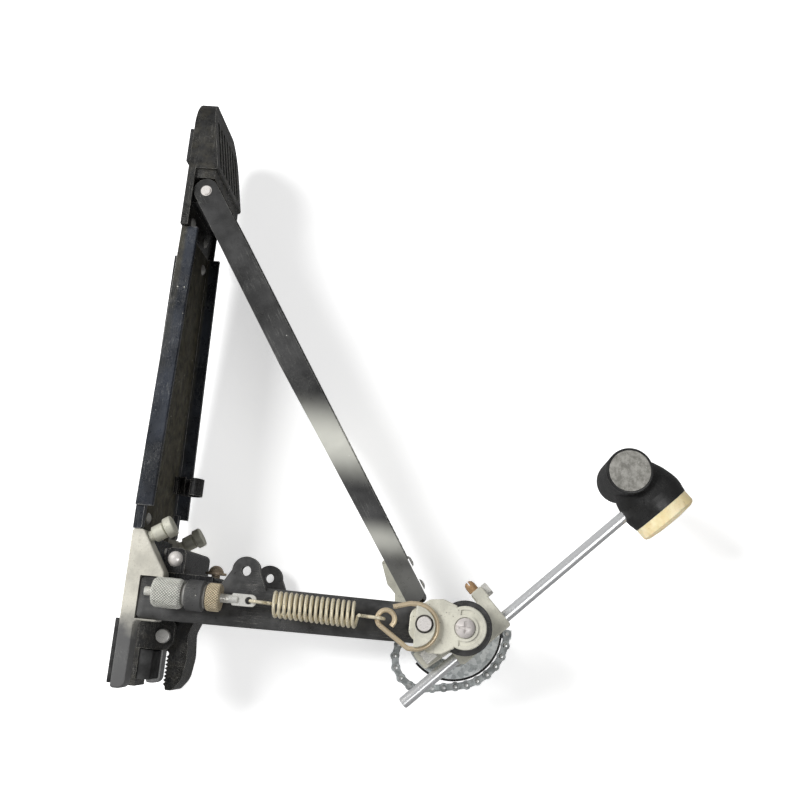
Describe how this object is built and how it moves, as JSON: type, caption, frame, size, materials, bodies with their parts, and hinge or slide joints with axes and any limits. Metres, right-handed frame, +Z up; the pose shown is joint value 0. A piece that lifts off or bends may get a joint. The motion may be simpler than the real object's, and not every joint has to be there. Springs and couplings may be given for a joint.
{
  "type": "bass drum pedal",
  "caption": "Chain-driven foot pedal on twin posts: a hinged footboard pulls a cam that swings a beater on a leaning rod, with a return spring, tension adjuster and hoop clamp.",
  "frame": {"origin": "on the floor, under the axle, midway between the two posts", "axes": "+X forward to the drum, +Y to the player's left, +Z up; the axle runs along Y"},
  "size_m": [0.4315, 0.1314, 0.382],
  "materials": {
    "post_coat": "satin",
    "cast_alloy": "satin",
    "base_coat": "satin",
    "heel_coat": "satin",
    "board_coat": "satin",
    "black_coat": "satin",
    "zinc_plate": "satin",
    "pale_zinc": "satin",
    "bright_steel": "polished",
    "plain_steel": "satin",
    "brass_tint": "satin",
    "spring_steel": "satin",
    "chain_steel": "satin",
    "dark_race": "satin",
    "black_rubber": "matte",
    "black_strip": "matte",
    "head_plastic": "gloss",
    "grey_disc": "matte",
    "cream_face": "satin",
    "dark_iron": "satin"
  },
  "bodies": {
    "frame": {"right_foot": "cast_alloy", "left_foot": "cast_alloy", "right_post": "post_coat", "left_post": "post_coat", "axle_bearings": "dark_race", "base_bridge": "base_coat", "floor_pads": "black_rubber", "base_plate": "base_coat", "key_clip": "base_coat", "heel_plate": "heel_coat", "hinge_block": "black_coat", "frame_screws": "plain_steel", "clamp_bridge": "base_coat", "bar_bolts": "brass_tint", "clamp_block": "dark_iron", "clamp_pad": "black_rubber", "clamp_pivot": "plain_steel", "adjuster_washers": "plain_steel"},
    "rotor": {"axle": "bright_steel", "cam": "zinc_plate", "cam_strip": "black_strip", "cam_screws": "plain_steel", "chain_wrapped": "chain_steel", "beater_hub": "pale_zinc", "rod_screw": "brass_tint", "hub_screws": "plain_steel", "rocker": "pale_zinc", "axle_screw": "plain_steel", "rocker_pin": "bright_steel"},
    "board": {"footboard": "board_coat", "heel_pin": "bright_steel", "chain_bracket": "zinc_plate", "bracket_screws": "plain_steel"},
    "spring_link": {"link_swivel": "pale_zinc", "swivel_bearing": "dark_race", "wire_link": "brass_tint"},
    "tension_bolt": {"eye_bolt": "bright_steel"},
    "tension_wheel": {"tension_nut": "bright_steel"},
    "lock_wheel": {"lock_nut": "brass_tint"},
    "spring_base": {"spring_hook_low": "spring_steel", "spring_coil": "spring_steel"},
    "spring_top": {"spring_hook_top": "spring_steel"},
    "rod": {"beater_rod": "bright_steel"},
    "head": {"beater_head": "head_plastic", "beater_face": "cream_face", "beater_side_pads": "grey_disc"},
    "jaw": {"clamp_jaw": "dark_iron"},
    "jaw_bolt": {"clamp_bolt": "plain_steel"},
    "spur_r": {"spur_right": "bright_steel"},
    "spur_l": {"spur_left": "bright_steel"},
    "chain_04": {"chain_link_04": "chain_steel"},
    "chain_05": {"chain_link_05": "chain_steel"},
    "chain_06": {"chain_link_06": "chain_steel"},
    "chain_07": {"chain_link_07": "chain_steel"},
    "chain_08": {"chain_link_08": "chain_steel"},
    "chain_11": {"chain_link_11": "chain_steel"},
    "chain_12": {"chain_link_12": "chain_steel"},
    "chain_13": {"chain_link_13": "chain_steel"},
    "chain_14": {"chain_link_14": "chain_steel"},
    "chain_15": {"chain_link_15": "chain_steel"}
  },
  "joints": [
    {"name": "axle_spin", "type": "hinge", "parent": "frame", "child": "rotor", "pos_m": [0, 0, 0.232], "axis": [0, 1, 0], "range_deg": [0, 56], "stiffness_Nm_per_rad": 1, "springref_deg": -17.19},
    {"name": "board_stroke", "type": "hinge", "parent": "frame", "child": "board", "pos_m": [-0.2944, 0, 0.018], "axis": [0, 1, 0], "range_deg": [0, 12.1]},
    {"name": "link_swing", "type": "hinge", "parent": "rotor", "child": "spring_link", "pos_m": [0, -0.063, 0.206], "axis": [0, 1, 0], "range_deg": [-66.1, 0]},
    {"name": "tension_nut_turn", "type": "hinge", "parent": "frame", "child": "tension_wheel", "pos_m": [-0.004, -0.063, 0.0377], "axis": [0, 0, 1], "range_deg": [-360.5, 360.5]},
    {"name": "lock_nut_turn", "type": "hinge", "parent": "frame", "child": "lock_wheel", "pos_m": [-0.004, -0.063, 0.0682], "axis": [0, 0, 1], "range_deg": [-360, 360]},
    {"name": "eye_bolt_lift", "type": "slide", "parent": "frame", "child": "tension_bolt", "axis": [0, 0, 1], "range_m": [-0.001, 0.001]},
    {"name": "spring_swing", "type": "hinge", "parent": "tension_bolt", "child": "spring_base", "pos_m": [-0.004, -0.063, 0.091], "axis": [0, 1, 0], "range_deg": [-9.95, 0]},
    {"name": "spring_stretch", "type": "slide", "parent": "spring_base", "child": "spring_top", "axis": [0.0348, 0, 0.9994], "range_m": [0, 0.01225], "deforming": ["spring_coil"]},
    {"name": "beater_height", "type": "slide", "parent": "rotor", "child": "rod", "axis": [-0.7034, 0, 0.7108], "range_m": [-0.004, 0.012]},
    {"name": "head_turn", "type": "hinge", "parent": "rod", "child": "head", "pos_m": [-0.10226, -0.013, 0.35169], "axis": [-0.7034, 0, 0.7108], "continuous": true},
    {"name": "hoop_jaw", "type": "hinge", "parent": "frame", "child": "jaw", "pos_m": [0.0245, 0, 0.027], "axis": [0, 1, 0], "range_deg": [-10, 5.5]},
    {"name": "clamp_bolt_feed", "type": "slide", "parent": "frame", "child": "jaw_bolt", "axis": [1, 0, 0], "range_m": [-0.0047, 0.0026]},
    {"name": "spur_right_feed", "type": "slide", "parent": "frame", "child": "spur_r", "axis": [0.5344, 0, -0.8453], "range_m": [0, 0.003]},
    {"name": "spur_left_feed", "type": "slide", "parent": "frame", "child": "spur_l", "axis": [0.5344, 0, -0.8453], "range_m": [0, 0.003]},
    {"name": "chain_bend_04", "type": "hinge", "parent": "rotor", "child": "chain_04", "pos_m": [0.02339, 0.007, 0.25541], "axis": [0, 1, 0], "range_deg": [-12.86, 0]},
    {"name": "chain_bend_05", "type": "hinge", "parent": "chain_04", "child": "chain_05", "pos_m": [0.02949, 0.007, 0.25023], "axis": [0, 1, 0], "range_deg": [-11.84, 0]},
    {"name": "chain_bend_06", "type": "hinge", "parent": "chain_05", "child": "chain_06", "pos_m": [0.03437, 0.007, 0.2439], "axis": [0, 1, 0], "range_deg": [-11.56, 0]},
    {"name": "chain_bend_07", "type": "hinge", "parent": "chain_06", "child": "chain_07", "pos_m": [0.03782, 0.007, 0.23668], "axis": [0, 1, 0], "range_deg": [-11.32, 0]},
    {"name": "chain_bend_08", "type": "hinge", "parent": "chain_07", "child": "chain_08", "pos_m": [0.03968, 0.007, 0.2289], "axis": [0, 1, 0], "range_deg": [-2.51, 0]},
    {"name": "chain_bend_11", "type": "hinge", "parent": "chain_08", "child": "chain_11", "pos_m": [0.04385, 0.007, 0.20526], "axis": [0, 1, 0], "range_deg": [-21.04, 0]},
    {"name": "chain_bend_12", "type": "hinge", "parent": "chain_11", "child": "chain_12", "pos_m": [0.04212, 0.007, 0.19745], "axis": [0, 1, 0], "range_deg": [-20.99, 0]},
    {"name": "chain_bend_13", "type": "hinge", "parent": "chain_12", "child": "chain_13", "pos_m": [0.03753, 0.007, 0.1909], "axis": [0, 1, 0], "range_deg": [-21.06, 0]},
    {"name": "chain_bend_14", "type": "hinge", "parent": "chain_13", "child": "chain_14", "pos_m": [0.03078, 0.007, 0.1866], "axis": [0, 1, 0], "range_deg": [-21.27, 0]},
    {"name": "chain_bend_15", "type": "hinge", "parent": "chain_14", "child": "chain_15", "pos_m": [0.0229, 0.007, 0.18521], "axis": [0, 1, 0], "range_deg": [-21.62, 0]}
  ],
  "couplings": [
    {"joint": "board_stroke", "follows": "axle_spin", "ratio": 0.21513},
    {"joint": "link_swing", "follows": "axle_spin", "ratio": -1.1767},
    {"joint": "spring_swing", "follows": "axle_spin", "ratio": -0.1767},
    {"joint": "spring_stretch", "follows": "axle_spin", "m_per_rad": 0.012483},
    {"joint": "tension_nut_turn", "follows": "eye_bolt_lift", "rad_per_m": 6283.2},
    {"joint": "clamp_bolt_feed", "follows": "hoop_jaw", "m_per_rad": 0.026},
    {"joint": "chain_bend_04", "follows": "axle_spin", "ratio": -0.22827},
    {"joint": "chain_bend_05", "follows": "axle_spin", "ratio": -0.21004},
    {"joint": "chain_bend_06", "follows": "axle_spin", "ratio": -0.205},
    {"joint": "chain_bend_07", "follows": "axle_spin", "ratio": -0.20079},
    {"joint": "chain_bend_08", "follows": "axle_spin", "ratio": -0.04331},
    {"joint": "chain_bend_11", "follows": "axle_spin", "ratio": -0.37436},
    {"joint": "chain_bend_12", "follows": "axle_spin", "ratio": -0.37338},
    {"joint": "chain_bend_13", "follows": "axle_spin", "ratio": -0.37469},
    {"joint": "chain_bend_14", "follows": "axle_spin", "ratio": -0.37845},
    {"joint": "chain_bend_15", "follows": "axle_spin", "ratio": -0.38466}
  ]
}
